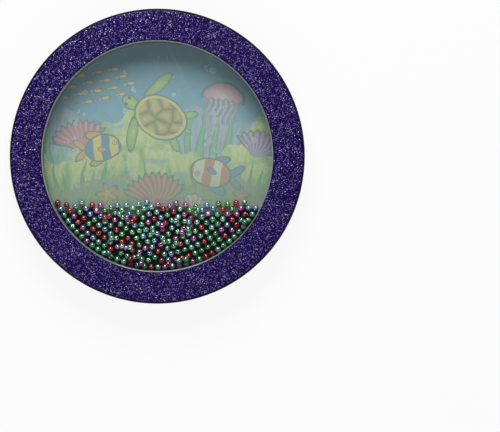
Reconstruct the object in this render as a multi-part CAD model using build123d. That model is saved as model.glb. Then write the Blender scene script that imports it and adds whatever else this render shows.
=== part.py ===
from build123d import *
import itertools
import math
import os
import random

import numpy as np

# Ocean drum, lying on its printed side. Z is the axis of the drum, the clear head is on top, and the
# beads have run down to the -Y side of the chamber. All sizes are in millimetres.

# Whole drum
OUTER_DIAMETER = 254.0
DEPTH = 38.0
RIM_WIDTH = 28.0  # from the outer edge to the window, lip included

# Rims: a flat flange with a skirt that snaps over the flesh hoop
FLANGE_THICKNESS = 4.5
SKIRT_WALL = 2.2
SNAP_HEIGHT = 2.0
RIM_EDGE_RADIUS = 3.0
BORE_EDGE_RADIUS = 1.0
SKIRT_EDGE_RADIUS = 0.8

# Lip rings that finish the window with a slope, each with a foot under the flange
LIP_WIDTH = 0.8
LIP_SETBACK = 0.4
LIP_DROP = 2.4
LIP_EDGE_RADIUS = 0.5
LIP_TIP_RADIUS = 0.15
LIP_FOOT_WIDTH = 5.0

# Heads: film stretched over the shell, its collar bonded inside a flesh hoop
HEAD_FILM = 0.4
GASKET_THICKNESS = 1.0
HOOP_WIDTH = 2.0
HOOP_HEIGHT = 5.0
HOOP_CORNER_RADIUS = 0.5

# Shell, its wrap and the fence around the bead chamber
SHELL_WALL = 6.0
BEARING_RADIUS = 2.0
WRAP_THICKNESS = 0.4
WRAP_SEAM = 0.6
FENCE_WALL = 1.6
BLOCK_COUNT = 8
BLOCK_WIDTH = 22.0
BLOCK_HEIGHT_SHARE = 0.7  # of the chamber depth

# Beads: pearls with a thread hole, lying every way round
BEAD_DIAMETER = 5.5
BEAD_HOLE = 1.4
BEAD_COUNT = 215
BEAD_GAP = 0.3  # least air between two beads, and between a bead and a wall
BEAD_GAP_SPREAD = 0.6  # further air, different for each bead
PILE_ROUGHNESS = 4.0  # how far from the lowest free place a bead may come to rest
BEAD_SEED = 12
BEAD_COLOURS = {
    "green_beads": 0.33,
    "sea_green_beads": 0.19,
    "red_beads": 0.18,
    "magenta_beads": 0.19,
    "blue_beads": 0.11,
}
RIDING_COUNT = 24  # beads that lie on top of others
HOLLOW_WIDTH = 1.3  # longest side of a hollow that holds a riding bead, in bead pitches
# Where the single beads are looked for, as shares of the window radius across X
ROLLING_AT = (-0.55, 0.05, 0.5)
HOPPING_AT = (-0.3, 0.3)

# Clearances
GLUE_LINE = 0.05
FIT = 0.15
SLIP = 0.3

# Heights, as depths below the face of a rim
head_top = FLANGE_THICKNESS + GASKET_THICKNESS
head_under = head_top + HEAD_FILM
bend_radius = BEARING_RADIUS + FIT + HEAD_FILM
hoop_top = head_top + bend_radius + FIT
hoop_end = hoop_top + HOOP_HEIGHT
snap_top = hoop_end + SLIP
skirt_end = snap_top + SNAP_HEIGHT
chamber_depth = DEPTH - 2 * head_under

# Radii, from the outside in
rim_outer = OUTER_DIAMETER / 2
skirt_inner = rim_outer - SKIRT_WALL
hoop_outer = skirt_inner - SLIP
hoop_inner = hoop_outer - HOOP_WIDTH
collar_outer = hoop_inner - GLUE_LINE
collar_inner = collar_outer - HEAD_FILM
shell_outer = collar_inner - FIT
shell_inner = shell_outer - SHELL_WALL
wrap_inner = shell_outer + GLUE_LINE
wrap_outer = wrap_inner + WRAP_THICKNESS
snap_inner = wrap_outer + SLIP
window = rim_outer - RIM_WIDTH
lip_outer = window + LIP_WIDTH
rim_bore = lip_outer + FIT
foot_outer = lip_outer + LIP_FOOT_WIDTH
gasket_inner = foot_outer + SLIP
gasket_outer = shell_outer - BEARING_RADIUS
fence_outer = window + FENCE_WALL

bead_radius = BEAD_DIAMETER / 2
bead_height = head_under + BEAD_GAP + bead_radius
middle = Plane.XY.offset(DEPTH / 2)


def turned(corners, rounds=()):
    """A solid turned about Z from a closed outline of (radius, depth below the front face) corners.

    rounds holds (corner number, radius) pairs for the corners that are rounded.
    """
    places = [(radius, DEPTH - depth) for radius, depth in corners]
    outline = make_face(Polyline(*places, close=True))
    for number, radius in rounds:
        corner = outline.vertices().sort_by_distance(places[number])[0]
        outline = fillet(corner, radius)
    return revolve(Plane.XZ * outline, Axis.Z)


def rim():
    """Flange, rounded outer edge and skirt, with a ramped snap bead inside the end of the skirt."""
    ramp = skirt_inner - snap_inner
    return turned(
        [
            (rim_bore, 0),
            (rim_outer, 0),
            (rim_outer, skirt_end),
            (snap_inner, skirt_end),
            (snap_inner, snap_top + ramp / 4),
            (skirt_inner - ramp / 4, snap_top),
            (skirt_inner, snap_top),
            (skirt_inner, FLANGE_THICKNESS),
            (rim_bore, FLANGE_THICKNESS),
        ],
        [(0, BORE_EDGE_RADIUS), (1, RIM_EDGE_RADIUS), (2, SKIRT_EDGE_RADIUS)],
    )


def lip():
    """Ring that slopes down to the window, held by a foot that lies between the flange and the head."""
    return turned(
        [
            (window, LIP_SETBACK + LIP_DROP),
            (lip_outer, LIP_SETBACK),
            (lip_outer, FLANGE_THICKNESS),
            (foot_outer, FLANGE_THICKNESS),
            (foot_outer, head_top),
            (window, head_top),
        ],
        [(0, LIP_EDGE_RADIUS), (1, LIP_TIP_RADIUS)],
    )


def gasket():
    """Flat foam ring that bonds the flange to the head."""
    return turned(
        [
            (gasket_inner, FLANGE_THICKNESS),
            (gasket_outer, FLANGE_THICKNESS),
            (gasket_outer, head_top),
            (gasket_inner, head_top),
        ]
    )


def head():
    """Film disc that bends over the bearing edge of the shell into a collar."""
    return turned(
        [
            (0, head_top),
            (collar_outer, head_top),
            (collar_outer, hoop_end),
            (collar_inner, hoop_end),
            (collar_inner, head_under),
            (0, head_under),
        ],
        [(1, bend_radius), (4, bend_radius - HEAD_FILM)],
    )


def flesh_hoop():
    """Hoop around the collar of a head, caught by the snap bead of the rim."""
    corners = [(hoop_inner, hoop_top), (hoop_outer, hoop_top), (hoop_outer, hoop_end), (hoop_inner, hoop_end)]
    return turned(corners, [(1, HOOP_CORNER_RADIUS), (2, HOOP_CORNER_RADIUS)])


def shell():
    """Bent hoop between the two heads, with a rounded bearing edge on each side."""
    far = DEPTH - head_under
    corners = [(shell_inner, head_under), (shell_outer, head_under), (shell_outer, far), (shell_inner, far)]
    return turned(corners, [(1, BEARING_RADIUS), (2, BEARING_RADIUS)])


def shell_wrap():
    """Strip around the shell between the two collars, with its ends meeting in a seam on the +Y side."""
    top = hoop_end + SLIP
    end = DEPTH - top
    band = turned([(wrap_inner, top), (wrap_outer, top), (wrap_outer, end), (wrap_inner, end)])
    return band - Pos(0, wrap_outer, DEPTH / 2) * Box(WRAP_SEAM, 4 * (wrap_outer - shell_outer), DEPTH)


def bead_fence():
    """Inner hoop that keeps the beads in sight inside the window."""
    far = DEPTH - head_under
    return turned([(window, head_under), (fence_outer, head_under), (fence_outer, far), (window, far)])


def fence_blocks():
    """Spacers that centre the fence in the shell, with ends curved to both hoops."""
    height = chamber_depth * BLOCK_HEIGHT_SHARE
    top = (DEPTH - height) / 2
    inner = fence_outer + GLUE_LINE
    outer = shell_inner - GLUE_LINE
    ring = turned([(inner, top), (outer, top), (outer, top + height), (inner, top + height)])
    bar = Pos((inner + outer) / 2, 0, DEPTH / 2) * Box(outer - inner + BLOCK_WIDTH, BLOCK_WIDTH, DEPTH)
    block = (ring & bar).solid()
    turn = 360 / BLOCK_COUNT
    return Compound([Rot(0, 0, turn * (number + 0.5)) * block for number in range(BLOCK_COUNT)])


def resting_places(settled, half_pitch, reach):
    """Points where a new bead touches two settled beads, or one bead and the fence, and no bead overlaps.

    settled holds x, y and half pitch for each bead. reach is the radius that beads may fill.
    """
    beads = np.array(settled)
    x = np.append(beads[:, 0], 0.0)
    y = np.append(beads[:, 1], 0.0)
    touch = np.append(beads[:, 2] + half_pitch, reach - half_pitch)
    first, second = np.triu_indices(len(x), 1)
    dx = x[second] - x[first]
    dy = y[second] - y[first]
    apart = np.hypot(dx, dy)
    along = (apart**2 + touch[first] ** 2 - touch[second] ** 2) / (2 * apart)
    across = touch[first] ** 2 - along**2
    near = across > 0
    first, dx, dy, apart, along = (values[near] for values in (first, dx, dy, apart, along))
    across = np.sqrt(across[near])
    places = [
        (x[first] + (along * dx - side * across * dy) / apart, y[first] + (along * dy + side * across * dx) / apart)
        for side in (1, -1)
    ]
    spots = np.concatenate([np.column_stack(place) for place in places])
    to_beads = np.hypot(spots[:, None, 0] - beads[None, :, 0], spots[:, None, 1] - beads[None, :, 1])
    clear = (to_beads > beads[None, :, 2] + half_pitch - 1e-6).all(axis=1)
    inside = np.hypot(spots[:, 0], spots[:, 1]) < reach - half_pitch + 1e-6
    return spots[clear & inside]


def settle_beads():
    """Centres (x, y) of the beads on the head, each dropped towards -Y until it rests on its neighbours."""
    chance = random.Random(BEAD_SEED)
    reach = window - BEAD_GAP / 2
    settled = []
    for _ in range(BEAD_COUNT):
        half_pitch = bead_radius + (BEAD_GAP + BEAD_GAP_SPREAD * chance.random()) / 2
        if settled:
            spots = resting_places(settled, half_pitch, reach)
            lowest = min(spots, key=lambda spot: spot[1] + PILE_ROUGHNESS * chance.random() ** 2)
        else:
            lowest = (0.0, half_pitch - reach)
        settled.append((float(lowest[0]), float(lowest[1]), half_pitch))
    return [(x, y) for x, y, _ in settled]


def free_to_roll(bead, beads):
    """True if no other bead lies in the way of this one towards +Y."""
    width = BEAD_DIAMETER + BEAD_GAP
    return not any(abs(x - bead[0]) < width and y > bead[1] for x, y in beads if (x, y) != bead)


def hollow(corners):
    """Place (x, y, rise) of a bead that lies on three beads, or None if they don't cradle it."""
    pitch = BEAD_DIAMETER + BEAD_GAP
    sides = sorted(math.dist(one, other) for one, other in itertools.combinations(corners, 2))
    (ax, ay), (bx, by), (cx, cy) = corners
    twice_area = (bx - ax) * (cy - ay) - (by - ay) * (cx - ax)
    if sides[2] ** 2 > sides[0] ** 2 + sides[1] ** 2 or sides[2] > HOLLOW_WIDTH * pitch:
        return None
    to_b = (bx - ax) ** 2 + (by - ay) ** 2
    to_c = (cx - ax) ** 2 + (cy - ay) ** 2
    x = ax + ((cy - ay) * to_b - (by - ay) * to_c) / (2 * twice_area)
    y = ay + ((bx - ax) * to_c - (cx - ax) * to_b) / (2 * twice_area)
    return x, y, math.sqrt(pitch**2 - math.dist((x, y), corners[0]) ** 2)


def riding_beads(beads, singles):
    """Places (x, y, rise) of beads that lie on the first layer, each in a hollow between three.

    singles are further beads that they keep clear of and don't lie on.
    """
    chance = random.Random(BEAD_SEED + 1)
    pitch = BEAD_DIAMETER + BEAD_GAP
    layer = [(x, y, 0.0) for x, y in beads + singles]
    hollows = []
    for number, bead in enumerate(beads):
        near = [other for other in beads[number + 1 :] if math.dist(bead, other) < HOLLOW_WIDTH * pitch]
        hollows += [hollow((bead, one, other)) for one, other in itertools.combinations(near, 2)]
    hollows = [place for place in hollows if place]
    chance.shuffle(hollows)
    riding = []
    for place in hollows:
        clear = all(math.dist(place, other) > pitch - 1e-6 for other in layer + riding)
        if clear and len(riding) < RIDING_COUNT:
            riding.append(place)
    return riding


def pierced_bead():
    """One bead about the origin, with its hole along Z."""
    half_length = math.sqrt(bead_radius**2 - (BEAD_HOLE / 2) ** 2)
    rims = [(BEAD_HOLE / 2, half_length), (BEAD_HOLE / 2, -half_length)]
    outline = make_face([ThreePointArc(rims[0], (bead_radius, 0), rims[1]), Line(rims[1], rims[0])])
    return revolve(Plane.XZ * outline, Axis.Z).solid()


def strewn(bead, places, chance):
    """Copies of a bead at (x, y) on the printed head or (x, y, rise) above it, turned at random."""
    copies = []
    for x, y, *rise in places:
        turn = Rot(0, 0, 360 * chance.random()) * Rot(0, math.degrees(math.acos(chance.random())), 0)
        copies.append(Pos(x, y, bead_height + sum(rise)) * turn * bead)
    return Compound(copies)


def bead_nodes():
    """Every bead node: single beads that roll or hop by themselves, and the rest in groups by colour."""
    beads = settle_beads()
    surface = [bead for bead in beads if free_to_roll(bead, beads)]
    rolling = [min(surface, key=lambda bead: abs(bead[0] - share * window)) for share in ROLLING_AT]
    lying = [bead for bead in beads if bead not in rolling]
    riding = riding_beads(lying, rolling)
    hopping = [min(riding, key=lambda bead: abs(bead[0] - share * window)) for share in HOPPING_AT]
    places = {f"rolling_bead_{number}": [bead] for number, bead in enumerate(rolling, 1)}
    places.update({f"hopping_bead_{number}": [bead] for number, bead in enumerate(hopping, 1)})
    places.update({name: [] for name in BEAD_COLOURS})
    chance = random.Random(BEAD_SEED + 2)
    for bead in lying + [bead for bead in riding if bead not in hopping]:
        places[chance.choices(list(BEAD_COLOURS), list(BEAD_COLOURS.values()))[0]].append(bead)
    pearl = pierced_bead()
    return {name: strewn(pearl, spots, chance) for name, spots in places.items()}


front = {
    "rim": rim(),
    "lip": lip(),
    "gasket": gasket(),
    "head": head(),
    "hoop": flesh_hoop(),
}
back = {name: shape.mirror(middle) for name, shape in front.items()}
drum = {
    "front_rim": front["rim"],
    "front_lip": front["lip"],
    "front_gasket": front["gasket"],
    "clear_head": front["head"],
    "clear_head_hoop": front["hoop"],
    "back_rim": back["rim"],
    "back_lip": back["lip"],
    "back_gasket": back["gasket"],
    "printed_head": back["head"],
    "printed_head_hoop": back["hoop"],
    "shell": shell(),
    "shell_wrap": shell_wrap(),
    "bead_fence": bead_fence(),
    "fence_blocks": fence_blocks(),
    **bead_nodes(),
}

os.makedirs("parts", exist_ok=True)
for node, shape in drum.items():
    export_step(shape, f"parts/{node}.step")
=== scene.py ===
"""Looks of the ocean drum: finishes for its solids, smooth pearls, and a studio to see it in.

Lengths are in metres, apart from those of the printed picture, which are in millimetres.
"""

import logging
import math
from dataclasses import dataclass
from enum import Enum

import bpy
import numpy as np
from mathutils import Matrix, Vector


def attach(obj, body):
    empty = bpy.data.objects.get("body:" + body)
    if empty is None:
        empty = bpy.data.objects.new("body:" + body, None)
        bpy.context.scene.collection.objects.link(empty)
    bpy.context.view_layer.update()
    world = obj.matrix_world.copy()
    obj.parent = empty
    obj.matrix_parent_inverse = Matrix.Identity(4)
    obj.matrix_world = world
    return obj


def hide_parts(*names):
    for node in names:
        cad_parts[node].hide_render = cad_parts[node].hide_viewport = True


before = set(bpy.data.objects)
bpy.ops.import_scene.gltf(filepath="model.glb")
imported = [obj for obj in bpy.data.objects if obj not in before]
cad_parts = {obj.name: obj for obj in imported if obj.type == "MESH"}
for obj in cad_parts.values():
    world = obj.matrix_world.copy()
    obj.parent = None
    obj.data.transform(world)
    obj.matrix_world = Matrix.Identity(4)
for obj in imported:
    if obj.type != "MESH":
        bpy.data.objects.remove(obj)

log = logging.getLogger("ocean_drum")

Pair = tuple[float, float]
Triple = tuple[float, float, float]
Colour = tuple[float, float, float, float]
Stops = list[tuple[float, Colour]]
Node = bpy.types.Node
Socket = bpy.types.NodeSocket
Number = float | Socket
Tint = Colour | Socket

MM = 1000.0  # millimetres in a metre
ZERO: Triple = (0.0, 0.0, 0.0)
HALF: Triple = (0.5, 0.5, 0.5)
FLAT: Triple = (1.0, 1.0, 0.0)  # stretch that lays coordinates down on the plane of X and Y
WHITE: Colour = (1.0, 1.0, 1.0, 1.0)


def ink(red: int, green: int, blue: int, alpha: float = 1.0) -> Colour:
    """Linear colour from display values of 0 to 255.

    Args:
        red: Red as a screen shows it.
        green: Green as a screen shows it.
        blue: Blue as a screen shows it.
        alpha: Cover, from 0 to 1.

    Returns:
        The colour as Blender's sockets take it.
    """
    shares = (value / 255 for value in (red, green, blue))
    linear = [s / 12.92 if s <= 0.04045 else ((s + 0.055) / 1.055) ** 2.4 for s in shares]
    return (linear[0], linear[1], linear[2], alpha)


class Graph:
    """The nodes of a material or of the world, written from the inside out with one call for each."""

    def __init__(self, tree: bpy.types.NodeTree) -> None:
        """Start on a tree, and find the material's shader if it has one."""
        self.tree = tree
        self.shader = tree.nodes.get("Principled BSDF")

    def add(self, kind: str, inputs: dict | None = None, **settings: object) -> Node:
        """Add a node.

        Args:
            kind: Blender's name for the node, without its start, ShaderNode.
            inputs: Value or link for each input, by name or number.
            settings: Properties of the node.

        Returns:
            The node.
        """
        node = self.tree.nodes.new(f"ShaderNode{kind}")
        for name, value in settings.items():
            setattr(node, name, value)
        for key, value in (inputs or {}).items():
            self.feed(node.inputs[key], value)
        return node

    def feed(self, socket: Socket, value: object) -> None:
        """Link an input, or set it to a plain value.

        Args:
            socket: The input.
            value: Socket that it is linked to, or its value.
        """
        if isinstance(value, Socket):
            self.tree.links.new(value, socket)
        else:
            socket.default_value = value

    def fill(self, **values: object) -> None:
        """Link or set inputs of the shader.

        Args:
            values: Value or link for each input, with the spaces in its name as underscores.
        """
        for name, value in values.items():
            self.feed(self.shader.inputs[name.replace("_", " ")], value)

    def show(self, share: Socket, a: Node, b: Node) -> None:
        """Show a mix of two shaders on the material.

        Args:
            share: From 0, all a, to 1, all b.
            a: First shader.
            b: Second shader.
        """
        both = self.add("MixShader", {0: share, 1: a.outputs[0], 2: b.outputs[0]})
        self.feed(self.tree.nodes["Material Output"].inputs["Surface"], both.outputs[0])

    def place(self) -> Socket:
        """Object coordinates, in metres."""
        return self.add("TexCoord").outputs["Object"]

    def facing(self) -> Socket:
        """Surface normal in the piece's own axes."""
        return self.add("TexCoord").outputs["Normal"]

    def math(self, operation: str, a: Number, b: Number = 0.0, c: Number = 0.0) -> Socket:
        """One Math node with up to three values."""
        return self.add("Math", {0: a, 1: b, 2: c}, operation=operation).outputs[0]

    def step(self, value: Number, low: float, high: float, start: float = 0.0, end: float = 1.0) -> Socket:
        """A smooth step from start to end while value goes from low to high."""
        inputs = {"Value": value, "From Min": low, "From Max": high, "To Min": start, "To Max": end}
        return self.add("MapRange", inputs, interpolation_type="SMOOTHSTEP").outputs[0]

    def times(self, value: Number, *factors: Number) -> Socket:
        """Multiply values.

        Args:
            value: First value.
            factors: The others.

        Returns:
            Their product.
        """
        for factor in factors:
            value = self.math("MULTIPLY", value, factor)
        return value

    def wave(self, value: Number, pace: float, shift: Number = 0.0) -> Socket:
        """Sine of a value times a pace, shifted."""
        return self.math("SINE", self.math("MULTIPLY_ADD", value, pace, shift))

    def fall(self, value: Number, low: float, high: float) -> Socket:
        """A smooth step from 1 down to 0 while value goes from low to high."""
        return self.step(value, low, high, 1.0, 0.0)

    def parts(self, vector: Socket) -> tuple[Socket, Socket, Socket]:
        """X, Y and Z of a vector, or red, green and blue of a colour."""
        outputs = self.add("SeparateXYZ", {0: vector}).outputs
        return outputs[0], outputs[1], outputs[2]

    def vector(self, operation: str, a: Socket, b: Socket | Triple = ZERO, scale: Number = 1.0) -> Socket:
        """One Vector Math node with two vectors, or with a vector and a scale."""
        return self.add("VectorMath", {0: a, 1: b, 3: scale}, operation=operation).outputs[0]

    def length(self, vector: Socket) -> Socket:
        """Length of a vector."""
        return self.add("VectorMath", {0: vector}, operation="LENGTH").outputs["Value"]

    def radius(self, place: Socket) -> Socket:
        """Distance from the Z axis."""
        return self.length(self.stretch(place, FLAT))

    def local(self, place: Socket, at: Pair, size: Pair, turn: float = 0.0) -> Socket:
        """Coordinates about a point, turned and in units of a size.

        Args:
            place: Coordinates.
            at: The point that becomes the origin.
            size: Lengths that become 1 along X and Y.
            turn: Turn of the new axes, in degrees.

        Returns:
            The new coordinates.
        """
        inputs = {
            "Vector": place,
            "Location": (*at, 0.0),
            "Rotation": (0.0, 0.0, math.radians(turn)),
            "Scale": (*size, 1.0),
        }
        return self.add("Mapping", inputs, vector_type="TEXTURE").outputs[0]

    def stretch(self, place: Socket, scale: Triple) -> Socket:
        """Coordinates times a scale along each axis."""
        return self.vector("MULTIPLY", place, scale)

    def noise(self, place: Socket, scale: float, detail: float = 2.0, roughness: float = 0.5) -> Socket:
        """Noise from 0 to 1, with a number of waves to a unit of the coordinates."""
        inputs = {"Vector": place, "Scale": scale, "Detail": detail, "Roughness": roughness}
        return self.add("TexNoise", inputs).outputs["Fac"]

    def cells(self, place: Socket, scale: float, feature: str = "F1", flat: bool = False) -> Node:
        """Voronoi cells, with a number of them to a unit, in a plane where flat is true."""
        settings = {"feature": feature, "voronoi_dimensions": "2D" if flat else "3D"}
        return self.add("TexVoronoi", {"Vector": place, "Scale": scale}, **settings)

    def mix(self, share: Number, a: Tint, b: Tint, blend: str = "MIX") -> Socket:
        """Colour a with a share of colour b over it, by one of Blender's ways of mixing."""
        node = self.add("Mix", {0: share, 6: a, 7: b}, data_type="RGBA", blend_type=blend)
        return node.outputs[2]

    def ramp(self, value: Number, stops: Stops) -> Node:
        """Colours along a value.

        Args:
            value: What is read, from 0 to 1.
            stops: Place and colour of each stop.

        Returns:
            The Color Ramp node.
        """
        node = self.add("ValToRGB", {0: value})
        elements = node.color_ramp.elements
        while len(elements) < len(stops):
            elements.new(1.0)
        for element, (at, colour) in zip(elements, sorted(stops, key=lambda stop: stop[0])):
            element.position = at
            element.color = colour
        return node

    def bump(self, height: Socket, distance: float) -> Socket:
        """Normal of a relief whose height goes from 0 to 1 over a distance in metres."""
        return self.add("Bump", {"Height": height, "Distance": distance}).outputs[0]


@dataclass(frozen=True)
class Finish:
    """What a surface is made of. Each kind of finish paints its own nodes."""

    name: str

    def material(self) -> bpy.types.Material:
        """Make the material.

        Returns:
            A node material with this finish.
        """
        made = bpy.data.materials.new(self.name)
        made.use_nodes = True
        self.paint(Graph(made.node_tree))
        return made

    def paint(self, graph: Graph) -> None:
        """Link the nodes of this finish to the shader.

        Args:
            graph: The material's nodes.
        """
        raise NotImplementedError


@dataclass(frozen=True)
class Flakes:
    """One layer of foil flakes in a glitter finish; in the bright layer their colours are the foil's own
    colour with a painted glint.
    """

    pitch: float
    lit_share: float
    cover: float
    reach: Pair
    colours: tuple[Colour, ...]
    full_share: float = 0.6  # of the flakes that are lit at all

    def lay(self, graph: Graph, place: Socket, under: Tint) -> tuple[Socket, Socket, Socket]:
        """Strew the flakes over a colour.

        Args:
            graph: The material's nodes.
            place: Object coordinates.
            under: Colour so far.

        Returns:
            The new colour, the cover of the flakes picked at random to shine, and a random vector for each
            flake.
        """
        cell = graph.cells(place, 1 / self.pitch)
        chance, tint, _ = graph.parts(cell.outputs["Color"])
        # flakes picked at random to shine; in the bright layer their colour is partly a painted glint
        shining = graph.step(chance, 1 - self.lit_share, 1 - self.lit_share * self.full_share)
        body = graph.fall(cell.outputs["Distance"], *self.reach)
        cover = graph.times(shining, body, self.cover)
        last = len(self.colours) - 1
        foil = graph.ramp(tint, [(number / last, colour) for number, colour in enumerate(self.colours)])
        return graph.mix(cover, under, foil.outputs[0]), cover, cell.outputs["Color"]


@dataclass(frozen=True)
class GlitterPlastic(Finish):
    """Dark plastic full of foil flakes that lie at all angles, with painted shade along the rounded outer
    edges and the bore's corner.
    """

    base: Colour = ink(31, 9, 88)
    shade: Colour = ink(12, 3, 44)
    # colour of the painted shade on the rounded outer edges and the bore's corner
    edge: Colour = ink(7, 3, 24)
    dim: Flakes = Flakes(
        0.0007, 0.5, 0.8, (0.3, 0.5),
        (ink(44, 24, 104), ink(76, 58, 144), ink(58, 40, 116)),
    )
    # bright layer: foil colour with a painted glint, on flakes picked at random
    bright: Flakes = Flakes(
        0.0008, 0.46, 1.0, (0.36, 0.5),
        (ink(88, 66, 168), ink(126, 108, 198), ink(166, 152, 220), ink(112, 110, 200), ink(236, 230, 250)),
    )
    mottle_scale: float = 160.0
    tilt: float = 0.5
    foil_metal: float = 0.35
    roughness: Pair = (0.4, 0.3)  # between the flakes and on them
    specular: float = 0.08
    # strength of the painted edge shade
    edge_shade_strength: float = 0.9
    # where the painted edge shade lies: radius and height of the outer edges, radius of the bore's corner
    edge_from: Pair = (0.1247, 0.1257)
    edge_above: Pair = (0.0145, 0.016)
    bore_from: Pair = (0.1003, 0.101)
    middle: float = 0.019

    def mottle_and_edge_shade(self, graph: Graph, place: Socket) -> Socket:
        """Find the rounded outer edges and the bore's corner, which get painted shade over the flakes.

        Args:
            graph: The material's nodes.
            place: Object coordinates.

        Returns:
            1 on these edges, else 0.
        """
        _, _, z = graph.parts(place)
        radius = graph.radius(place)
        high = graph.math("ABSOLUTE", graph.math("SUBTRACT", z, self.middle))
        rim = graph.step(radius, *self.edge_from)
        outer = graph.times(rim, graph.step(high, *self.edge_above))
        return graph.math("MAXIMUM", outer, graph.fall(radius, *self.bore_from))

    def paint(self, graph: Graph) -> None:
        """Lay two layers of flakes in a mottled base, where each bright flake has its own tilt, and paint
        shade on the rounded edges.

        Args:
            graph: The material's nodes.
        """
        place = graph.place()
        colour = graph.mix(graph.noise(place, self.mottle_scale, 3.0), self.shade, self.base)
        colour, _, _ = self.dim.lay(graph, place, colour)
        colour, cover, chance = self.bright.lay(graph, place, colour)
        lean = graph.vector("SUBTRACT", chance, HALF)
        lean = graph.vector("SCALE", lean, scale=graph.times(cover, self.tilt))
        surface = graph.add("NewGeometry").outputs["Normal"]
        # painted shade over the flakes on the rounded outer edges and the bore's corner
        mottle_and_edge_shade = graph.times(self.mottle_and_edge_shade(graph, place), self.edge_shade_strength)
        graph.fill(
            Base_Color=graph.mix(mottle_and_edge_shade, colour, self.edge),
            Normal=graph.vector("NORMALIZE", graph.vector("ADD", surface, lean)),
            Metallic=graph.times(cover, self.foil_metal),
            Roughness=graph.step(cover, 0.0, 1.0, *self.roughness),
            Specular_IOR_Level=self.specular,
        )


@dataclass(frozen=True)
class SatinPlastic(Finish):
    """Moulded plastic with a faint mottle, flow lines, fine orange peel and a gleaming coat."""

    tone: Colour = ink(164, 168, 174)
    mottle_and_edge_shade: Colour = ink(150, 154, 160)
    roughness: Pair = (0.2, 0.34)
    mottle_scale: float = 90.0
    flow_scale: float = 240.0
    flow_run: Triple = (1.0, 1.0, 9.0)
    peel_scale: float = 1800.0
    peel: float = 0.00003
    gleam: float = 1.0
    gleam_roughness: float = 0.16
    gleam_index: float = 2.6

    def paint(self, graph: Graph) -> None:
        """Vary the colour and the roughness, add a fine relief and lay the coat on.

        Args:
            graph: The material's nodes.
        """
        place = graph.place()
        mottle = graph.noise(place, self.mottle_scale, 4.0, 0.6)
        flow = graph.noise(graph.stretch(place, self.flow_run), self.flow_scale, 3.0)
        graph.fill(
            Base_Color=graph.mix(graph.step(mottle, 0.35, 0.7), self.tone, self.mottle_and_edge_shade),
            Roughness=graph.step(flow, 0.25, 0.75, *self.roughness),
            Normal=graph.bump(graph.noise(place, self.peel_scale, 1.0), self.peel),
            Coat_Weight=self.gleam,
            Coat_Roughness=self.gleam_roughness,
            Coat_IOR=self.gleam_index,
        )


@dataclass(frozen=True)
class ClearFilm(Finish):
    """Glossy see-through film with a trace of haze and finger marks."""

    tint: Colour = ink(244, 248, 248)
    smudged: Colour = ink(226, 234, 236)
    smudge_scale: float = 26.0
    roughness: Pair = (0.05, 0.12)
    mirror: float = 0.016
    slant_power: float = 5.0  # how late the mirror grows as the view slants
    haze: float = 0.0015
    marks: float = 0.006

    def paint(self, graph: Graph) -> None:
        """Lay a mirror that covers as much as the film reflects over nothing.

        Args:
            graph: The material's nodes.
        """
        smudge = graph.noise(graph.place(), self.smudge_scale, 5.0, 0.65)
        graph.fill(
            Base_Color=graph.mix(smudge, self.tint, self.smudged),
            Roughness=graph.step(smudge, 0.4, 0.8, *self.roughness),
            Metallic=1.0,
        )
        slant = graph.add("LayerWeight").outputs["Facing"]
        grown = graph.math("POWER", slant, self.slant_power)
        gloss = graph.math("MULTIPLY_ADD", grown, 1.0 - self.mirror, self.mirror)
        dull = graph.step(smudge, 0.45, 0.75, self.haze, self.marks)
        cover = graph.math("MINIMUM", graph.math("ADD", gloss, dull), 1.0)
        graph.show(cover, graph.add("BsdfTransparent"), graph.shader)


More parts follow.
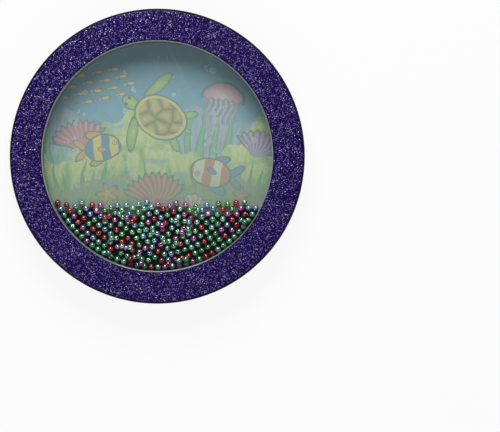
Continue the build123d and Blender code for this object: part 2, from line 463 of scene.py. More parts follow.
class Sea(Graph):
    """A picture of the sea, drawn in millimetres over a disc.

    It starts as water. Each motif has a method that draws it over the picture so far.
    """

    WIDTH = 200.0
    WOBBLE = 4.0
    WOBBLE_SCALE = 0.05
    EDGE_STOP = 0.8  # where a ramp has the edge of a shape
    FADE_STOP = 0.83  # where the shape has faded out
    SOFT = (0.98, 1.02)  # soft edge of a shape that ends at 1
    OUTLINE: Colour = ink(48, 72, 104)
    LEAF_LINE: Colour = ink(34, 84, 58)
    PUPIL: Colour = ink(20, 24, 40)
    # Place, half size and turn of the parts that show from under a body
    FISH_FINS = (
        ((-1.0, 0.22), (0.42, 0.16), -38),
        ((-1.0, -0.22), (0.42, 0.16), 38),
        ((-0.25, 0.52), (0.55, 0.24), -24),
        ((-0.25, -0.52), (0.5, 0.2), 24),
    )
    TURTLE_LIMBS = (
        ((0.62, 1.0), (0.66, 0.2), 112),
        ((0.62, -1.0), (0.66, 0.2), -112),
        ((-0.86, 0.56), (0.36, 0.15), 140),
        ((-0.86, -0.56), (0.36, 0.15), -140),
        ((-1.06, 0.0), (0.2, 0.08), 0),
        ((1.2, 0.0), (0.36, 0.24), 0),
    )

    def __init__(self, tree: bpy.types.NodeTree) -> None:
        """Start with water, on a page that is a little uneven, as in drawing by hand.

        Args:
            tree: The material's nodes.
        """
        super().__init__(tree)
        flat = self.stretch(self.place(), (MM, MM, 0.0))
        uneven = self.add("TexNoise", {"Vector": flat, "Scale": self.WOBBLE_SCALE})
        wobble = self.vector("SUBTRACT", uneven.outputs["Color"], HALF)
        wobble = self.vector("SCALE", wobble, scale=self.WOBBLE)
        self.page = self.stretch(self.vector("ADD", flat, wobble), FLAT)
        self.x, self.y, _ = self.parts(self.page)
        self.picture = self.water()

    def water(self) -> Socket:
        """Paint blue water, deeper towards the top, with slanting light and drifting bands.

        Returns:
            The colour of the water.
        """
        depth = self.math("MULTIPLY_ADD", self.y, 1 / self.WIDTH, 0.5)
        pale, mid = (0.2, ink(128, 190, 206)), (0.5, ink(104, 168, 208))
        high, top = (0.72, ink(88, 142, 212)), (1.0, ink(60, 106, 176))
        blue = self.ramp(depth, [pale, mid, high, top]).outputs[0]
        drift = self.noise(self.stretch(self.page, (0.018, 0.07, 0.0)), 1.0, 4.0, 0.6)
        blue = self.mix(self.step(drift, 0.46, 0.72, 0.0, 0.4), blue, ink(128, 152, 208))
        slanting = self.local(self.page, (0, 0), (1, 1), 24)
        rays = self.noise(self.stretch(slanting, (0.11, 0.008, 0.0)), 1.0)
        return self.mix(self.step(rays, 0.52, 0.8, 0.0, 0.4), blue, ink(176, 212, 226))

    def draw(self, cover: Number, tint: Tint) -> None:
        """Draw a colour over the picture where cover is 1."""
        self.picture = self.mix(cover, self.picture, tint)

    def shape(self, value: Socket, stops: Stops) -> None:
        """Draw a shape over the picture.

        Args:
            value: 0 at the middle of the shape and 1 at its edge.
            stops: Colours from the middle to the edge.
        """
        last = stops[-1][1]
        scaled = [(at * self.EDGE_STOP, colour) for at, colour in stops]
        faded = (self.FADE_STOP, (last[0], last[1], last[2], 0.0))
        node = self.ramp(self.times(value, self.EDGE_STOP), [*scaled, faded])
        self.draw(node.outputs["Alpha"], node.outputs["Color"])

    def lined(self, stops: Stops, line: float) -> Stops:
        """Colours of a shape with an outline from a share of its size to its edge."""
        return [*stops, (line, self.OUTLINE), (1.0, self.OUTLINE)]

    def spot(self, at: Pair, size: float, turn: float) -> Socket:
        """Coordinates about a point of the page, turned by some degrees and in units of a size."""
        return self.local(self.page, at, (size, size), turn)

    def oval(
        self, place: Socket, at: Pair, size: Pair, turn: float, inner: Colour, outer: Colour, line: float
    ) -> None:
        """Draw an oval with an outline.

        Args:
            place: Coordinates.
            at: Middle of the oval.
            size: Half its length and half its width.
            turn: Turn in degrees.
            inner: Colour at the middle.
            outer: Colour at the edge.
            line: Width of the outline as a share of the size, or 0.
        """
        value = self.length(self.local(place, at, size, turn))
        stops = [(0.0, inner), (1.0 - line * 1.3, outer)]
        self.shape(value, self.lined(stops, 1.0 - line) if line else stops)

    def crest(self, height: float, swings: list[Triple]) -> Socket:
        """Make a wavy line.

        Args:
            height: Mean height.
            swings: Height, wavelength and shift of each wave.

        Returns:
            The line's height for each X.
        """
        line: Number = height
        for tall, long, shift in swings:
            line = self.math("MULTIPLY_ADD", self.wave(self.x, math.tau / long, shift), tall, line)
        return line

    def hill(self, crest: Socket, tint: Tint, soft: float = 1.2) -> None:
        """Fill all that lies below a crest with a colour, up to a soft edge."""
        self.draw(self.step(self.math("SUBTRACT", crest, self.y), 0.0, soft), tint)

    def drifted(self, scale: Triple, seed: float) -> Socket:
        """Coordinates of the page, stretched and moved to where a seed says."""
        return self.vector("ADD", self.stretch(self.page, scale), (seed, seed, 0.0))

    def folds(self, seed: float, light: Colour, mid: Colour, deep: Colour) -> Socket:
        """Paint the upright folds of a reef wall.

        Args:
            seed: Picks the folds.
            light: Colour of the ridges.
            mid: Colour beside them.
            deep: Colour of the clefts.

        Returns:
            The colour of the wall.
        """
        wall = self.noise(self.drifted((0.055, 0.012, 0.0), seed), 2.2, 3.0, 0.55)
        stops = [(0.3, deep), (0.42, mid), (0.52, light), (0.62, mid), (0.72, light)]
        return self.ramp(wall, stops).outputs[0]

    def wash(self, under: Tint, seed: float, size: float, tint: Colour, cover: float) -> Socket:
        """Lay a soft stain of watercolour over a colour, in drifting patches.

        Args:
            under: The colour so far.
            seed: Picks the patches.
            size: Width of a patch.
            tint: Colour of the stain.
            cover: Its strength, from 0 to 1.

        Returns:
            The stained colour.
        """
        patch = self.noise(self.drifted((1 / size, 1.7 / size, 0.0), seed), 1.0, 3.0, 0.55)
        return self.mix(self.step(patch, 0.5, 0.64, 0.0, cover), under, tint)

    def kelp(self, root: float, pitch: float, tall: float, seed: float, leaf: Colour, vein: Colour) -> None:
        """Draw a row of swaying blades, each of its own height.

        Args:
            root: Height of the roots.
            pitch: Distance between blades.
            tall: Greatest height of a blade.
            seed: Picks the heights.
            leaf: Colour of the blades.
            vein: Colour down their middle.
        """
        bends, lag, swing, half_width = 7.0, 0.05, 0.22, 0.36
        rise = self.math("DIVIDE", self.math("SUBTRACT", self.y, root), tall)
        sway = self.wave(rise, bends, self.math("MULTIPLY_ADD", self.x, lag, seed))
        sway = self.math("MULTIPLY_ADD", sway, pitch * swing, self.x)
        across = self.math("DIVIDE", sway, pitch)
        number = self.math("ADD", self.math("FLOOR", across), seed)
        chance = self.add("TexWhiteNoise", {"W": number}, noise_dimensions="1D").outputs["Value"]
        along = self.math("DIVIDE", rise, self.math("MULTIPLY_ADD", chance, 0.75, 0.2))
        middle = self.math("ABSOLUTE", self.math("SUBTRACT", self.math("FRACT", across), 0.5))
        width = self.times(self.math("SUBTRACT", 1.0, along), half_width)
        side = self.math("DIVIDE", middle, self.math("MAXIMUM", width, 0.001))
        value = self.math("MAXIMUM", side, self.step(rise, -0.02, 0.0, 2.0, 0.0))
        blade = [(0.0, vein), (0.2, leaf), (0.75, leaf), (0.9, self.LEAF_LINE), (1.0, self.LEAF_LINE)]
        self.shape(value, blade)

    def fan(self, spot: Socket, ribs: float, light: Colour, deep: Colour) -> None:
        """Draw a ribbed fan with a wavy edge: a scallop shell, or a sea fan with many ribs.

        Args:
            spot: Coordinates about its foot, in lengths of a rib.
            ribs: Number of ribs in a half turn.
            light: Colour of the ribs.
            deep: Colour between them.
        """
        curl, half_spread = 9.0, 1.05
        x, y, _ = self.parts(spot)
        angle = self.math("ARCTAN2", x, y)
        far = self.length(spot)
        wave = self.math("COSINE", self.math("MULTIPLY_ADD", angle, ribs * 2, self.wave(far, curl)))
        edge = self.math("DIVIDE", far, self.math("MULTIPLY_ADD", wave, 0.05, 0.94))
        side = self.math("DIVIDE", self.math("ABSOLUTE", angle), half_spread)
        value = self.math("MAXIMUM", edge, side)
        tint = self.mix(self.step(wave, -0.5, 0.6), deep, light)
        tint = self.mix(self.step(value, 0.9, 0.96), tint, self.OUTLINE)
        self.draw(self.fall(value, *self.SOFT), tint)

    def star(self, spot: Socket, light: Colour, deep: Colour) -> None:
        """Draw a starfish with five round arms.

        Args:
            spot: Coordinates about its middle, in lengths of an arm.
            light: Colour of the middle.
            deep: Colour of the edge.
        """
        arm_count, mean, swing = 5.0, 0.66, 0.33
        x, y, _ = self.parts(spot)
        arms = self.math("COSINE", self.times(self.math("ARCTAN2", x, y), arm_count))
        value = self.math("DIVIDE", self.length(spot), self.math("MULTIPLY_ADD", arms, swing, mean))
        self.shape(value, self.lined([(0.0, light), (0.78, deep)], 0.86))

    def bubbles(self) -> None:
        """Draw rising chains of bubbles, each a pale ring with a bright spot."""
        pitch, lowest = 8.5, (-30.0, -20.0)
        cell = self.cells(self.page, 1 / pitch, flat=True)
        chance, size, _ = self.parts(cell.outputs["Color"])
        chains = self.wave(self.x, 0.16, self.wave(self.y, 0.09))
        chosen = self.step(chance, 0.4, 0.42)
        there = self.times(self.step(chains, 0.72, 0.8), chosen, self.step(self.y, *lowest))
        value = self.math("DIVIDE", cell.outputs["Distance"], self.math("MULTIPLY_ADD", size, 0.22, 0.1))
        bright, clear = ink(240, 250, 252), ink(176, 214, 228, 0.5)
        spot = [(0.0, ink(240, 250, 252, 0.9)), (0.22, clear), (0.6, clear)]
        ring = [(0.7, bright), (self.EDGE_STOP, bright), (0.84, ink(240, 250, 252, 0.0))]
        bubble = self.ramp(self.times(value, self.EDGE_STOP), [*spot, *ring])
        self.draw(self.times(bubble.outputs["Alpha"], there), bubble.outputs["Color"])

    def shoal(self, at: Pair, reach: Pair, turn: float, back: Colour, belly: Colour) -> None:
        """Draw a shoal of small fish that all swim one way.

        Args:
            at: Middle of the shoal.
            reach: Half the shoal's length and height.
            turn: Direction that they swim in, in degrees.
            back: Colour of their backs.
            belly: Colour of their bellies.
        """
        pitch, row_height, row_shift = 15.0, 7.5, 0.37
        spot = self.local(self.page, at, (1, 1), turn)
        x, y, _ = self.parts(spot)
        row = self.math("DIVIDE", y, row_height)
        column = self.math("DIVIDE", x, pitch)
        column = self.math("MULTIPLY_ADD", self.math("FLOOR", row), row_shift, column)
        u = self.times(self.math("SUBTRACT", self.math("FRACT", column), 0.5), pitch)
        v = self.times(self.math("SUBTRACT", self.math("FRACT", row), 0.5), row_height)
        here = self.add("CombineXYZ", {0: u, 1: v}).outputs[0]
        fish = self.length(self.local(here, (0.8, 0), (4.6, 1.9)))
        wedge = self.times(self.math("ADD", u, 3.0), -0.75)
        tail = self.math("DIVIDE", self.math("ABSOLUTE", v), self.math("MAXIMUM", wedge, 0.01))
        tail = self.math("MAXIMUM", tail, self.step(u, -5.6, -5.2, 2.0, 0.0))
        value = self.math("MINIMUM", fish, tail)
        tint = self.mix(self.step(v, -0.6, 0.9), belly, back)
        tint = self.mix(self.step(value, 0.72, 0.82), tint, self.OUTLINE)
        eye = self.length(self.local(here, (3.4, 0.3), (0.6, 0.6)))
        tint = self.mix(self.fall(eye, 0.8, 1.1), tint, self.PUPIL)
        inside = self.fall(self.length(self.local(spot, (0, 0), reach)), 0.9, 0.92)
        self.draw(self.times(self.fall(value, 0.95, 1.05), inside), tint)

    def fish(self, spot: Socket, band: Colour, body: Colour, fin: Colour) -> None:
        """Draw a tall banded reef fish.

        Args:
            spot: Coordinates about its middle, in halves of its length, with X the way it swims.
            band: Colour of the bands.
            body: Colour of the body.
            fin: Colour of the fins.
        """
        for where, shape, lean in self.FISH_FINS:
            self.oval(spot, where, shape, lean, fin, fin, 0.16)
        x, _, _ = self.parts(spot)
        value = self.length(self.local(spot, (0, 0), (0.86, 0.62)))
        bands = self.wave(x, 8.2, 0.4)
        skin = self.mix(self.step(bands, -0.1, 0.1), body, band)
        skin = self.mix(self.step(value, 0.88, 0.94), skin, self.OUTLINE)
        self.draw(self.fall(value, *self.SOFT), skin)
        self.oval(spot, (-0.02, -0.06), (0.24, 0.13), -20, fin, fin, 0.2)
        self.oval(spot, (0.56, 0.14), (0.11, 0.11), 0, ink(16, 20, 34), ink(250, 250, 246), 0.2)

    def turtle(self, spot: Socket) -> None:
        """Draw a sea turtle seen from above, with a plated shell.

        Args:
            spot: Coordinates about its shell, in halves of its length, with X the way it swims.
        """
        for where, shape, lean in self.TURTLE_LIMBS:
            self.oval(spot, where, shape, lean, ink(206, 210, 132), ink(140, 172, 92), 0.12)
        for side in (0.13, -0.13):
            self.oval(spot, (1.32, side), (0.06, 0.06), 0, self.PUPIL, self.PUPIL, 0.0)
        value = self.length(self.local(spot, (0, 0), (1.0, 0.78)))
        plates = self.cells(self.local(spot, (0.07, 0.03), (0.47, 0.47)), 1.0, "DISTANCE_TO_EDGE", True)
        stops = [(0.0, ink(98, 74, 44)), (0.1, ink(176, 128, 66)), (0.35, ink(222, 186, 104))]
        plate = self.ramp(plates.outputs["Distance"], stops)
        shell = self.mix(self.step(value, 0.8, 0.84), plate.outputs[0], ink(236, 214, 132))
        shell = self.mix(self.step(value, 0.92, 0.96), shell, self.OUTLINE)
        self.draw(self.fall(value, 0.99, 1.02), shell)

    def jellyfish(self, spot: Socket) -> None:
        """Draw a jellyfish with a frilled bell and trailing arms.

        Args:
            spot: Coordinates about the frill's middle, in halves of the bell's width.
        """
        bends, arm_pitch, frills = 5.0, 0.25, 19.0
        x, y, _ = self.parts(spot)
        trail = self.math("MULTIPLY_ADD", self.wave(y, bends), 0.1, x)
        strand = self.math("FRACT", self.times(trail, 1 / arm_pitch))
        strand = self.math("ABSOLUTE", self.math("SUBTRACT", strand, 0.5))
        strand = self.math("DIVIDE", strand, self.math("MULTIPLY_ADD", y, 0.12, 0.3))
        beside = self.length(self.local(spot, (0, -0.1), (0.8, 2.3)))
        above = self.step(y, -0.02, 0.1, 0.0, 2.0)
        arms = self.math("MAXIMUM", strand, self.math("MAXIMUM", beside, above))
        self.shape(arms, [(0.0, ink(244, 214, 234)), (0.8, ink(214, 150, 206)), (1.0, ink(150, 96, 168))])
        frill = self.math("MULTIPLY_ADD", self.math("COSINE", self.times(x, frills)), 0.05, 0.08)
        low = self.math("MULTIPLY_ADD", self.math("ADD", y, frill), -8.0, 1.0)
        value = self.math("MAXIMUM", self.length(self.local(spot, (0, 0), (1.0, 0.82))), low)
        glow = [(0.0, ink(250, 226, 236)), (0.5, ink(236, 164, 208)), (0.84, ink(206, 112, 182))]
        self.shape(value, self.lined(glow, 0.93))


@dataclass(frozen=True)
class SeaPrint(Finish):
    """Drum film with a sea scene printed on its outer face, which shows paler on its inner face."""

    veil: Colour = ink(167, 197, 176)
    veil_share: float = 0.58
    # edge of the dark sea floor: print, and painted shade under the beads
    sea_floor_and_shade_height: float = -48.0
    sea_floor_and_shade_soft: Pair = (-2.0, 2.0)
    low_water: Pair = (-36.0, 16.0)
    low_shade: Colour = ink(196, 200, 208)
    film: Colour = ink(206, 212, 206)
    print_radius: float = 112.0
    print_soft: float = 0.6
    paper: Colour = ink(216, 214, 204)
    grain_scale: float = 420.0
    relief: float = 0.00002
    roughness: Pair = (0.3, 0.42)
    specular: float = 0.2

    def sea_floor_and_shade_edge(self, sea: Sea) -> Socket:
        """Height for each X of the edge of the dark sea floor, which is print and painted shade under the
        bead pile.
        """
        return sea.crest(self.sea_floor_and_shade_height, [(3.5, 74.0, 1.0), (2.0, 27.0, 3.0)])

    def picture(self, sea: Sea) -> Socket:
        """Draw the sea scene on its water, from the far reef to what is nearest.

        Args:
            sea: The material's nodes, with bare water.

        Returns:
            The picture's colour.
        """
        far = sea.folds(3.0, ink(176, 190, 226), ink(146, 164, 214), ink(120, 146, 204))
        sea.hill(sea.crest(36.0, [(9.0, 120.0, 0.6), (4.0, 38.0, 2.0)]), far, 3.0)
        sea.kelp(-4.0, 11.0, 74.0, 5.0, ink(112, 184, 142), ink(150, 206, 156))
        reef = sea.folds(11.0, ink(240, 238, 172), ink(214, 222, 110), ink(132, 184, 84))
        reef = sea.wash(reef, 41.0, 34.0, ink(132, 176, 214), 0.75)
        reef = sea.wash(reef, 57.0, 28.0, ink(108, 178, 92), 0.6)
        sea.hill(sea.crest(18.0, [(20.0, 128.0, 2.7), (5.0, 27.0, 0.4)]), reef)
        sea.fan(sea.spot((-66, 4), 30, 14), 15, ink(232, 120, 172), ink(186, 58, 128))
        sea.fan(sea.spot((84, -2), 26, -20), 13, ink(214, 158, 226), ink(150, 88, 184))
        sea.kelp(-36.0, 8.5, 46.0, 21.0, ink(72, 158, 74), ink(140, 204, 92))
        sand = sea.folds(23.0, ink(184, 178, 108), ink(154, 152, 82), ink(136, 114, 82))
        sand = sea.wash(sand, 71.0, 26.0, ink(222, 128, 140), 0.6)
        sand = sea.wash(sand, 83.0, 30.0, ink(120, 176, 190), 0.7)
        sea.hill(sea.crest(-22.0, [(6.0, 96.0, 4.0), (2.0, 31.0, 1.0)]), sand)
        # dark sea floor where the beads lie: print, made dark as painted shade between the beads
        deep = sea.folds(31.0, ink(14, 48, 42), ink(6, 26, 24), ink(3, 12, 13))
        sea.hill(self.sea_floor_and_shade_edge(sea), deep)
        sea.shoal((-52, 62), (36, 17), 12, ink(232, 116, 70), ink(250, 214, 140))
        sea.bubbles()
        sea.jellyfish(sea.spot((56, 50), 19, -10))
        sea.turtle(sea.spot((2, 34), 24, 152))
        sea.fish(sea.spot((-48, 8), 19, 8), ink(58, 96, 186), ink(250, 214, 74), ink(240, 150, 60))
        sea.fish(sea.spot((46, -14), 21, 170), ink(236, 92, 96), ink(250, 240, 214), ink(120, 120, 206))
        sea.fan(sea.spot((-2, -46), 34, 4), 17, ink(240, 128, 138), ink(196, 52, 84))
        sea.star(sea.spot((-44, -32), 11, 20), ink(250, 196, 90), ink(232, 118, 54))
        sea.star(sea.spot((72, -34), 9, -8), ink(246, 170, 186), ink(206, 76, 128))
        sea.fan(sea.spot((30, -44), 13, -14), 6, ink(252, 232, 212), ink(228, 160, 160))
        # dark kelp on the sea floor, kept dark for the painted shade under the beads
        sea.kelp(-92.0, 10.0, 44.0, 37.0, ink(20, 62, 84), ink(34, 92, 104))
        return sea.picture

    def paint(self, graph: Graph) -> None:
        """Print the picture inside a bare margin, and veil it where the film is seen from behind, apart
        from the dark sea floor, which stays dark as painted shade under the beads.

        Args:
            graph: The material's nodes.
        """
        sea = Sea(graph.tree)
        place = sea.place()
        grain = sea.noise(place, self.grain_scale, 3.0, 0.6)
        drawn = sea.mix(sea.step(grain, 0.3, 0.75, 0.0, 0.5), self.picture(sea), self.paper, "MULTIPLY")
        drawn = sea.mix(sea.fall(sea.y, *self.low_water), drawn, self.low_shade, "MULTIPLY")
        _, _, up = sea.parts(sea.facing())
        # no veil on the dark sea floor, so that it stays dark as painted shade between the beads
        thin = sea.step(sea.math("SUBTRACT", sea.y, self.sea_floor_and_shade_edge(sea)), *self.sea_floor_and_shade_soft)
        behind = sea.times(sea.step(up, 0.3, 0.6), thin, self.veil_share)
        seen = sea.mix(behind, drawn, self.veil)
        radius = sea.times(sea.radius(place), MM)
        margin = sea.step(radius, self.print_radius, self.print_radius + self.print_soft)
        sea.fill(
            Base_Color=sea.mix(margin, seen, self.film),
            Roughness=sea.step(grain, 0.3, 0.7, *self.roughness),
            Normal=sea.bump(grain, self.relief),
            Specular_IOR_Level=self.specular,
        )


@dataclass(frozen=True)
class DrawnMetal(Finish):
    """Bare drawn section with fine lines along its run around the drum."""

    tone: Colour = ink(196, 198, 202)
    line: Colour = ink(150, 153, 158)
    run: Triple = (40.0, 40.0, 4000.0)
    roughness: Pair = (0.42, 0.26)
    relief: float = 0.00002

    def paint(self, graph: Graph) -> None:
        """Draw lines that are long around Z and short along it.

        Args:
            graph: The material's nodes.
        """
        lines = graph.noise(graph.stretch(graph.place(), self.run), 1.0, 3.0, 0.6)
        graph.fill(
            Base_Color=graph.mix(graph.step(lines, 0.3, 0.7), self.line, self.tone),
            Roughness=graph.step(lines, 0.3, 0.7, *self.roughness),
            Normal=graph.bump(lines, self.relief),
            Metallic=1.0,
        )


class Grain(Enum):
    """Which way the grain of a wooden piece runs, as its stretch along X, Y and Z."""

    AROUND = (14.0, 14.0, 420.0)
    UPRIGHT = (260.0, 260.0, 16.0)


@dataclass(frozen=True)
class BareWood(Finish):
    """Unfinished pale wood with streaks and pores."""

    grain: Grain = Grain.AROUND
    light: Colour = ink(214, 178, 128)
    dark: Colour = ink(164, 122, 76)
    hollow: Colour = ink(120, 84, 50)
    pore_scale: float = 4.5
    roughness: Pair = (0.55, 0.75)
    relief: float = 0.00012

    def paint(self, graph: Graph) -> None:
        """Lay broad streaks with fine pores along the grain.

        Args:
            graph: The material's nodes.
        """
        run = graph.stretch(graph.place(), self.grain.value)
        streak = graph.noise(run, 1.0, 5.0, 0.6)
        pore = graph.noise(run, self.pore_scale, 2.0, 0.7)
        tint = graph.mix(graph.step(streak, 0.32, 0.68), self.dark, self.light)
        graph.fill(
            Base_Color=graph.mix(graph.step(pore, 0.56, 0.7, 0.0, 0.5), tint, self.hollow),
            Roughness=graph.step(pore, 0.3, 0.7, *self.roughness),
            Normal=graph.bump(pore, self.relief),
        )


@dataclass(frozen=True)
class FoamTape(Finish):
    """Dark closed-cell foam."""

    skin: Colour = ink(66, 66, 70)
    cell: Colour = ink(34, 34, 38)
    cell_scale: float = 3000.0
    roughness: Pair = (0.95, 0.8)
    relief: float = 0.0001

    def paint(self, graph: Graph) -> None:
        """Lay cells about a third of a millimetre across.

        Args:
            graph: The material's nodes.
        """
        cells = graph.cells(graph.place(), self.cell_scale).outputs["Distance"]
        graph.fill(
            Base_Color=graph.mix(graph.step(cells, 0.15, 0.6), self.cell, self.skin),
            Roughness=graph.step(cells, 0.1, 0.6, *self.roughness),
            Normal=graph.bump(cells, self.relief),
        )


@dataclass(frozen=True)
class PearlCoat(Finish):
    """Metallic pearl coat under a clear lacquer, a little different on each bead."""

    tone: Colour
    deep: Colour
    metal: float = 0.72
    roughness: Pair = (0.03, 0.08)
    thin_scale: float = 900.0
    bead_share: float = 0.65  # of the tint's change, from bead to bead
    thin_share: float = 0.35  # of the tint's change, within a bead
    dent_scale: float = 700.0
    dent: float = 0.00001
    lacquer: float = 2.9
    lacquer_roughness: float = 0.03

    def paint(self, graph: Graph) -> None:
        """Give each bead a tint, with thin places in the coat and a faint unevenness.

        Args:
            graph: The material's nodes.
        """
        place = graph.place()
        each = graph.add("NewGeometry").outputs["Random Per Island"]
        thin = graph.noise(place, self.thin_scale, 3.0, 0.6)
        own = graph.times(each, self.bead_share)
        share = graph.math("MULTIPLY_ADD", thin, self.thin_share, own)
        graph.fill(
            Base_Color=graph.mix(share, self.deep, self.tone),
            Roughness=graph.step(thin, 0.3, 0.75, *self.roughness),
            Normal=graph.bump(graph.noise(place, self.dent_scale, 1.0), self.dent),
            Metallic=self.metal,
            Coat_Weight=1.0,
            Coat_Roughness=self.lacquer_roughness,
            Coat_IOR=self.lacquer,
        )


@dataclass(frozen=True)
class WhiteFloor(Finish):
    """Matt white that keeps a shadow, and glows for the rays that see it directly."""

    light: Colour = ink(250, 250, 250)
    shade: Colour = ink(244, 244, 244)
    mottle_scale: float = 3.0
    roughness: float = 0.9
    specular: float = 0.1
    glow: float = 0.9

    def seen_directly(self, graph: Graph) -> Socket:
        """Tell which rays see the floor as it is.

        Args:
            graph: The material's nodes.

        Returns:
            1 for rays from the camera, and for mirror and clear rays, else 0.
        """
        path = graph.add("LightPath").outputs
        seen = graph.math("MAXIMUM", path["Is Camera Ray"], path["Is Glossy Ray"])
        return graph.math("MAXIMUM", seen, path["Is Transmission Ray"])

    def paint(self, graph: Graph) -> None:
        """Paint a faint mottle and mix in the glow.

        Args:
            graph: The material's nodes.
        """
        mottle = graph.noise(graph.place(), self.mottle_scale)
        graph.fill(
            Base_Color=graph.mix(mottle, self.shade, self.light),
            Roughness=self.roughness,
            Specular_IOR_Level=self.specular,
        )
        share = graph.times(self.seen_directly(graph), self.glow)
        graph.show(share, graph.shader, graph.add("Emission"))


def dress(node: str, material: bpy.types.Material) -> None:
    """Give a solid of the frame its material.

    Args:
        node: Name of the node.
        material: What it is made of.
    """
    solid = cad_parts[node]
    solid.data.materials.clear()
    solid.data.materials.append(material)
    log.info("%s is dressed in %s", node, material.name)


@dataclass
class Rims:
    """The two glitter rims, their lips and the foam between each rim and its head."""

    glitter: Finish = GlitterPlastic("glitter_rim")
    lip: Finish = SatinPlastic("pale_lip")
    foam: Finish = FoamTape("foam_tape")

    def build(self) -> None:
        """Dress the rings of both sides."""
        for part, finish in (("rim", self.glitter), ("lip", self.lip), ("gasket", self.foam)):
            material = finish.material()
            for side in ("front", "back"):
                dress(f"{side}_{part}", material)


@dataclass
class Heads:
    """The clear head, the printed head and the hoop around each collar."""

    clear: Finish = ClearFilm("clear_film")
    printed: Finish = SeaPrint("sea_print")
    hoop: Finish = DrawnMetal("drawn_hoop")

    def build(self) -> None:
        """Dress both films and both hoops."""
        dress("clear_head", self.clear.material())
        dress("printed_head", self.printed.material())
        hoop = self.hoop.material()
        for head in ("clear", "printed"):
            dress(f"{head}_head_hoop", hoop)


@dataclass
class Shell:
    """The bent shell, its glitter wrap, and the fence with its blocks."""

    wood: Finish = BareWood("bent_shell")
    wrap: Finish = GlitterPlastic("glitter_wrap")
    fence: Finish = SatinPlastic("slate_fence", tone=ink(112, 124, 130), mottle_and_edge_shade=ink(98, 110, 117), gleam=0.0)
    block: Finish = BareWood("sawn_block", Grain.UPRIGHT, ink(222, 190, 142), ink(182, 142, 94))

    def build(self) -> None:
        """Dress the four parts."""
        dress("shell", self.wood.material())
        dress("shell_wrap", self.wrap.material())
        dress("bead_fence", self.fence.material())
        dress("fence_blocks", self.block.material())


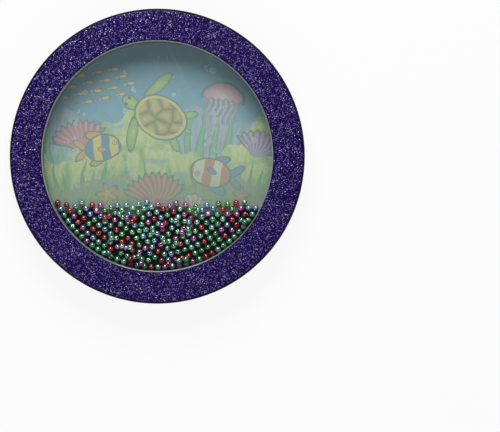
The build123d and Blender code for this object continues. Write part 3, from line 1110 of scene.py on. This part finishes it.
@dataclass
class BeadFill:
    """The loose pierced pearls: one pearl is modelled, and copies lie where the solids are."""

    radius: float = 0.00275
    hole_radius: float = 0.0007
    segments: int = 12
    rings: int = 8
    mouth: float = 0.99  # height of the hole's mouth, as a share of that of the edge around it
    crease: float = 55.0
    merge: float = 1e-6
    pile: str = "bead_pile"

    COATS = {
        "green": PearlCoat("pearl_green", ink(104, 212, 138), ink(34, 132, 72)),
        "sea_green": PearlCoat("pearl_sea_green", ink(156, 230, 210), ink(78, 170, 148)),
        "red": PearlCoat("pearl_red", ink(204, 16, 58), ink(138, 4, 36), lacquer=2.0),
        "magenta": PearlCoat("pearl_magenta", ink(230, 100, 210), ink(172, 40, 146)),
        "blue": PearlCoat("pearl_blue", ink(150, 202, 240), ink(76, 128, 196)),
    }
    SINGLES = {
        "rolling_bead_1": "red",
        "rolling_bead_2": "magenta",
        "rolling_bead_3": "green",
        "hopping_bead_1": "sea_green",
        "hopping_bead_2": "blue",
    }

    def pearl(self) -> bpy.types.Object:
        """Model one pearl about the origin, with its hole along Z.

        Returns:
            The pearl, to be copied.
        """
        bpy.ops.object.select_all(action="DESELECT")
        size = {"segments": self.segments, "ring_count": self.rings, "radius": self.radius}
        bpy.ops.mesh.primitive_uv_sphere_add(**size)
        pearl = bpy.context.object
        limit = self.radius * math.cos(math.pi / self.rings) - self.merge
        bpy.ops.object.mode_set(mode="EDIT")
        bpy.ops.mesh.select_mode(type="FACE")
        bpy.ops.mesh.select_all(action="DESELECT")
        bpy.ops.object.mode_set(mode="OBJECT")
        for face in pearl.data.polygons:
            face.select = all(abs(pearl.data.vertices[number].co.z) > limit for number in face.vertices)
        bpy.ops.object.mode_set(mode="EDIT")
        bpy.ops.mesh.delete(type="FACE")
        bpy.ops.mesh.select_all(action="DESELECT")
        bpy.ops.mesh.select_mode(type="EDGE")
        bpy.ops.mesh.select_non_manifold()
        bpy.ops.mesh.extrude_edges_move()
        narrow = self.hole_radius / (self.radius * math.sin(math.pi / self.rings))
        bpy.ops.transform.resize(value=(narrow, narrow, self.mouth), center_override=ZERO)
        bpy.ops.mesh.bridge_edge_loops()
        bpy.ops.mesh.select_all(action="SELECT")
        bpy.ops.mesh.normals_make_consistent(inside=False)
        bpy.ops.object.mode_set(mode="OBJECT")
        bpy.ops.object.shade_smooth_by_angle(angle=math.radians(self.crease))
        return pearl

    def places(self, node: str) -> list[Matrix]:
        """Find where the beads of a node lie and which way their holes point.

        Args:
            node: Name of the node.

        Returns:
            One placement for each bead.
        """
        probe = bpy.data.objects.new("probe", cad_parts[node].data.copy())
        bpy.context.scene.collection.objects.link(probe)
        bpy.ops.object.select_all(action="DESELECT")
        probe.select_set(True)
        bpy.context.view_layer.objects.active = probe
        bpy.ops.object.mode_set(mode="EDIT")
        bpy.ops.mesh.select_all(action="SELECT")
        bpy.ops.mesh.remove_doubles(threshold=self.merge)
        bpy.ops.mesh.separate(type="LOOSE")
        bpy.ops.object.mode_set(mode="OBJECT")
        found = []
        for bead in list(bpy.context.selected_objects):
            points = np.array([vertex.co for vertex in bead.data.vertices])
            middle = (points.min(axis=0) + points.max(axis=0)) / 2
            axis = np.linalg.eigh(np.cov(points.T))[1][:, -1]
            turn = Vector(axis).to_track_quat("Z", "Y").to_matrix().to_4x4()
            found.append(Matrix.Translation(Vector(middle)) @ turn)
            bpy.data.meshes.remove(bead.data)
        return found

    def strew(
        self, node: str, pearl: bpy.types.Object, body: str, material: bpy.types.Material
    ) -> None:
        """Stand pearls in for a node's beads.

        Args:
            node: Name of the node.
            pearl: The modelled pearl.
            body: Body that they ride on.
            material: Their coat.
        """
        copies = []
        for place in self.places(node):
            copy = bpy.data.objects.new(f"{node}_pearl", pearl.data.copy())
            copy.data.transform(place)
            bpy.context.scene.collection.objects.link(copy)
            copies.append(copy)
        bpy.ops.object.select_all(action="DESELECT")
        for copy in copies:
            copy.select_set(True)
        bpy.context.view_layer.objects.active = copies[0]
        if len(copies) > 1:
            bpy.ops.object.join()
        pearls = bpy.context.view_layer.objects.active
        pearls.name = f"{node}_pearls"
        pearls.data.materials.clear()
        pearls.data.materials.append(material)
        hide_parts(node)
        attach(pearls, body)
        log.info("%s: %d pearls", node, len(copies))

    def build(self) -> None:
        """Model the pearl, strew its copies and clear it away."""
        pearl = self.pearl()
        coats = {colour: coat.material() for colour, coat in self.COATS.items()}
        for colour, coat in coats.items():
            dress(f"{colour}_beads", coat)
            self.strew(f"{colour}_beads", pearl, self.pile, coat)
        for node, colour in self.SINGLES.items():
            dress(node, coats[colour])
            self.strew(node, pearl, node, coats[colour])
        bpy.data.meshes.remove(pearl.data)


@dataclass(frozen=True)
class Lamp:
    """One soft rectangular lamp that looks at the drum."""

    name: str
    at: Triple
    size: Pair
    power: float
    aim: Triple = (0.0, 0.0, 0.02)

    def build(self) -> None:
        """Hang the lamp, out of the camera's sight."""
        light = bpy.data.lights.new(self.name, "AREA")
        light.shape = "RECTANGLE"
        light.size, light.size_y = self.size
        light.energy = self.power
        lamp = bpy.data.objects.new(self.name, light)
        lamp.location = self.at
        lamp.rotation_mode = "QUATERNION"
        lamp.rotation_quaternion = (Vector(self.aim) - Vector(self.at)).to_track_quat("-Z", "Y")
        lamp.visible_camera = False
        bpy.context.scene.collection.objects.link(lamp)


@dataclass
class Studio:
    """White floor, soft lamps and a camera that looks straight down on the clear head."""

    camera_at: Triple = (0.0798, -0.0515, 3.035)
    lens: float = 251.0
    sensor: float = 36.0
    sight: float = 100.0
    ground: Finish = WhiteFloor("white_floor")
    floor_size: float = 12.0
    floor_drop: float = 0.0002
    room_level: float = 0.08
    wall_level: float = 0.25
    wall_edge: Pair = (0.3, 0.6)
    horizon: Pair = (0.06, 0.16)
    lamps: tuple[Lamp, ...] = (
        Lamp("key", (-0.05, 1.0, 1.15), (0.9, 0.8), 18.5),
        Lamp("front_card", (0.05, -0.72, 1.05), (2.0, 0.5), 4.6),
    )

    def floor(self) -> None:
        """Lay a white floor that keeps the drum's shadow."""
        bpy.ops.object.select_all(action="DESELECT")
        bpy.ops.mesh.primitive_plane_add(size=self.floor_size, location=(0.0, 0.0, -self.floor_drop))
        floor = bpy.context.object
        floor.name = "floor"
        floor.data.materials.append(self.ground.material())

    def sky(self) -> None:
        """Set up a dim room, paler in front of the drum, with a white horizon."""
        world = bpy.data.worlds.new("room")
        bpy.context.scene.world = world
        world.use_nodes = True
        graph = Graph(world.node_tree)
        _, y, z = graph.parts(graph.add("TexCoord").outputs["Generated"])
        ahead = graph.times(y, -1.0)
        front = graph.step(ahead, *self.wall_edge, self.room_level, self.wall_level)
        room = world.node_tree.nodes["Background"]
        room.inputs["Color"].default_value = WHITE
        graph.feed(room.inputs["Strength"], graph.math("MAXIMUM", front, graph.fall(z, *self.horizon)))

    def camera(self) -> None:
        """Set the camera above, with the drum in the upper left of its view."""
        data = bpy.data.cameras.new("camera")
        data.lens = self.lens
        data.sensor_width = self.sensor
        data.clip_end = self.sight
        camera = bpy.data.objects.new("camera", data)
        camera.location = self.camera_at
        bpy.context.scene.collection.objects.link(camera)
        bpy.context.scene.camera = camera

    def build(self) -> None:
        """Set up the floor, the room, the lamps and the camera."""
        bpy.context.scene.view_settings.view_transform = "Standard"
        self.floor()
        self.sky()
        self.camera()
        for lamp in self.lamps:
            lamp.build()
        log.info("studio: %d lamps", len(self.lamps))


def main() -> None:
    """Dress the drum and set up the studio."""
    logging.basicConfig(level=logging.INFO, format="%(name)s: %(message)s")
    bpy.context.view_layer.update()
    for assembly in (Studio(), Rims(), Heads(), Shell(), BeadFill()):
        assembly.build()


if __name__ == "__main__":
    main()
